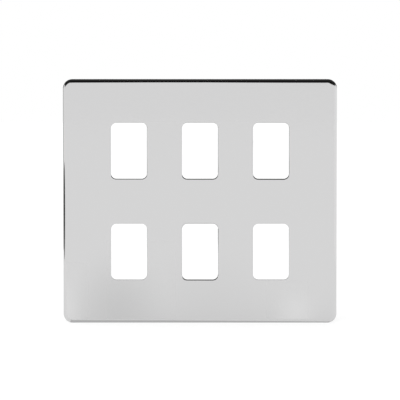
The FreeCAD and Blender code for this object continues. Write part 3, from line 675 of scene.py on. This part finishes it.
floor_finish = bpy.data.materials.new("pale_floor")
floor_finish.use_nodes = True
floor_tree = floor_finish.node_tree
floor_shader = floor_tree.nodes["Principled BSDF"]
floor_shader.inputs["Base Color"].default_value = floor_colour
floor_shader.inputs["Roughness"].default_value = floor_roughness
floor_shader.inputs["Specular IOR Level"].default_value = 0
floor_shader.inputs["Emission Color"].default_value = white
gloss_glow = floor_tree.nodes.new("ShaderNodeMath")
gloss_glow.operation = "MULTIPLY"
gloss_glow.inputs[1].default_value = floor_gloss_glow
glow = floor_tree.nodes.new("ShaderNodeMath")
glow.operation = "MULTIPLY_ADD"
glow.inputs[1].default_value = floor_glow
in_gloss = largest_ray(floor_tree, ("Is Glossy Ray", "Is Transmission Ray"))
to_camera = largest_ray(floor_tree, ("Is Camera Ray",))
floor_tree.links.new(in_gloss, gloss_glow.inputs[0])
floor_tree.links.new(to_camera, glow.inputs[0])
floor_tree.links.new(gloss_glow.outputs["Value"], glow.inputs[2])
floor_tree.links.new(glow.outputs["Value"], floor_shader.inputs["Emission Strength"])
floor_mesh = bpy.data.meshes.new("floor")
floor_mesh.from_pydata(
    [
        (-floor_reach, -floor_reach, floor_level),
        (floor_reach, -floor_reach, floor_level),
        (floor_reach, floor_reach, floor_level),
        (-floor_reach, floor_reach, floor_level),
    ],
    [],
    [(0, 1, 2, 3)],
)
floor_mesh.materials.append(floor_finish)
floor = bpy.data.objects.new("floor", floor_mesh)
scene.collection.objects.link(floor)

# Cards. Black ones over the plate and at its left, a white one at its right, and faint grey ones
# near its foot. Only polished metal shows them, and they give it its dark and pale edges.


def add_card(name, corners, level, faces=None):
    """Hang a card of that brightness, of one face unless its faces are given."""
    finish = bpy.data.materials.new(name)
    finish.use_nodes = True
    finish.node_tree.nodes.clear()
    emission = finish.node_tree.nodes.new("ShaderNodeEmission")
    emission.inputs["Color"].default_value = (level, level, level, 1)
    output = finish.node_tree.nodes.new("ShaderNodeOutputMaterial")
    finish.node_tree.links.new(emission.outputs["Emission"], output.inputs["Surface"])
    shape = bpy.data.meshes.new(name)
    shape.from_pydata(corners, [], faces or [tuple(range(len(corners)))])
    shape.materials.append(finish)
    card = bpy.data.objects.new(name, shape)
    scene.collection.objects.link(card)
    card.visible_camera = False
    card.visible_diffuse = False
    card.visible_shadow = False
    return card


# The card overhead is bent in an arc from in front of the plate to behind it. Each pair gives a
# place across and the angle of an edge above level. The front edge dips near both upper corners
# of the plate and rises further out. The three lengths grow a little lighter towards the back.
overhead_reach = 0.35
overhead_steps = 8
front_edge = (
    (-0.8, 18), (-0.12, 15), (-0.09, 4), (-0.034, 10.5), (0.005, 10.5),
    (0.034, 5), (0.06, 2), (0.088, 1), (0.2, 12), (0.45, 26), (0.8, 32),
)
first_seam = [(across, 47) for across, _ in front_edge]
second_seam = [(across, 90) for across, _ in front_edge]
back_edge = [(across, 176) for across, _ in front_edge]
points_across = len(front_edge)
overhead_faces = [
    (corner, corner + 1, corner + points_across + 1, corner + points_across)
    for corner in range(points_across * overhead_steps)
    if corner % points_across < points_across - 1
]
for part, first_edge, last_edge, level in (
    ("front", front_edge, first_seam, 0.006),
    ("middle", first_seam, second_seam, 0.026),
    ("back", second_seam, back_edge, 0.05),
):
    overhead_corners = []
    for step in range(overhead_steps + 1):
        for (across, first), (_, last) in zip(first_edge, last_edge):
            angle = math.radians(first + (last - first) * step / overhead_steps)
            overhead_corners.append((
                across,
                -overhead_reach * math.cos(angle),
                plate_height / 2 * MM + overhead_reach * math.sin(angle),
            ))
    add_card("overhead_card_" + part, overhead_corners, level, overhead_faces)

side_card_across = -0.5
side_card_middle = -0.06
side_card_half_width = 0.21
side_card_up = -0.0265
side_card_half_height = 0.035
side_card_points = 24
side_card_corners = []
for step in range(side_card_points):
    turned = 2 * math.pi * step / side_card_points
    side_card_corners.append((
        side_card_across,
        side_card_middle + side_card_half_width * math.cos(turned),
        side_card_up + side_card_half_height * math.sin(turned),
    ))
add_card("side_card", side_card_corners, level=0.02)

far_card_near_end = (-0.3, 0.17)
far_card_near_foot = -0.045
far_card_near_top = 0.08
far_card_far_end = (-0.08, 0.6)
far_card_far_foot = -0.055
far_card_far_top = 0.09
add_card(
    "far_side_card",
    [
        (*far_card_near_end, far_card_near_foot),
        (*far_card_far_end, far_card_far_foot),
        (*far_card_far_end, far_card_far_top),
        (*far_card_near_end, far_card_near_top),
    ],
    level=0.06,
)

right_card_across = 0.5
right_card_half_width = 0.6
right_card_top = 0.18
add_card(
    "right_card",
    [
        (right_card_across, -right_card_half_width, floor_level),
        (right_card_across, right_card_half_width, floor_level),
        (right_card_across, right_card_half_width, right_card_top),
        (right_card_across, -right_card_half_width, right_card_top),
    ],
    level=1.07,
)


def add_soft_card(name, across, depth, up, half_width, half_height, level, strength):
    """Hang a card in front of the plate that fades out towards its round edge."""
    card = add_card(
        name,
        [
            (-half_width, 0, -half_height),
            (half_width, 0, -half_height),
            (half_width, 0, half_height),
            (-half_width, 0, half_height),
        ],
        level,
    )
    card.location = (across, depth, up)
    tree = card.data.materials[0].node_tree
    place = tree.nodes.new("ShaderNodeTexCoord")
    mapping = tree.nodes.new("ShaderNodeMapping")
    mapping.inputs["Scale"].default_value = (1 / half_width, 1, 1 / half_height)
    falloff = tree.nodes.new("ShaderNodeTexGradient")
    falloff.gradient_type = "SPHERICAL"
    ease = tree.nodes.new("ShaderNodeMapRange")
    ease.interpolation_type = "SMOOTHSTEP"
    ease.inputs["To Max"].default_value = strength
    clear = tree.nodes.new("ShaderNodeBsdfTransparent")
    fade = tree.nodes.new("ShaderNodeMixShader")
    tree.links.new(place.outputs["Object"], mapping.inputs["Vector"])
    tree.links.new(mapping.outputs["Vector"], falloff.inputs["Vector"])
    tree.links.new(falloff.outputs["Fac"], ease.inputs["Value"])
    tree.links.new(ease.outputs["Result"], fade.inputs["Fac"])
    tree.links.new(clear.outputs["BSDF"], fade.inputs[1])
    tree.links.new(tree.nodes["Emission"].outputs["Emission"], fade.inputs[2])
    tree.links.new(fade.outputs["Shader"], tree.nodes["Material Output"].inputs["Surface"])


# Two shades and two gleams hang near the foot of the plate, each at a depth of its own.
for name, across, depth, up, half_width, half_height, level, strength in (
    ("left_shade", -0.045, -0.017, -0.062, 0.032, 0.04, 0.81, 0.7),
    ("middle_shade", 0.004, -0.018, -0.062, 0.055, 0.042, 0.88, 0.4),
    ("left_gleam", -0.0725, -0.02, -0.06, 0.012, 0.026, 1.1, 0.7),
    ("right_gleam", 0.052, -0.019, -0.06, 0.016, 0.016, 1.1, 0.7),
):
    add_soft_card(name, across, depth, up, half_width, half_height, level, strength)

# The card at the foot lies on the floor and draws the grey line along the lower bend. It is
# painted shade:
# a glowing grey sheet that only gloss shows, standing in for the plate's shadow on the floor at
# its foot.
foot_shadow_card_half_width = 0.07
foot_shadow_card_lift = 0.00003
foot_shadow_card_up = floor_level + foot_shadow_card_lift
foot_shadow_card_left_front = -0.0074
foot_shadow_card_right_front = -0.0046
foot_shadow_card_back = 0.3
add_card(
    "foot_shadow_card",
    [
        (-foot_shadow_card_half_width, foot_shadow_card_left_front, foot_shadow_card_up),
        (foot_shadow_card_half_width, foot_shadow_card_right_front, foot_shadow_card_up),
        (foot_shadow_card_half_width, foot_shadow_card_back, foot_shadow_card_up),
        (-foot_shadow_card_half_width, foot_shadow_card_back, foot_shadow_card_up),
    ],
    level=0.66,
)

# Lamps. Three wide soft lamps, far off, that light the front from both sides and the back from
# above. Polished metal doesn't show them.


def add_soft_lamp(name, towards, strength, spread):
    """Set up a far lamp, soft over that angle, that shines evenly on the plate and the floor."""
    light = bpy.data.lights.new(name, "SUN")
    light.energy = strength
    light.angle = math.radians(spread)
    lamp = bpy.data.objects.new(name, light)
    lamp.rotation_euler = Vector(towards).to_track_quat("-Z", "Y").to_euler()
    lamp.visible_glossy = False
    scene.collection.objects.link(lamp)


add_soft_lamp("key_lamp", towards=(0.5, 0.7, -0.7), strength=1.1, spread=60)
add_soft_lamp("fill_lamp", towards=(-0.6, 0.6, -0.4), strength=0.5, spread=90)
add_soft_lamp("back_lamp", towards=(0.3, -0.8, -0.6), strength=0.9, spread=70)
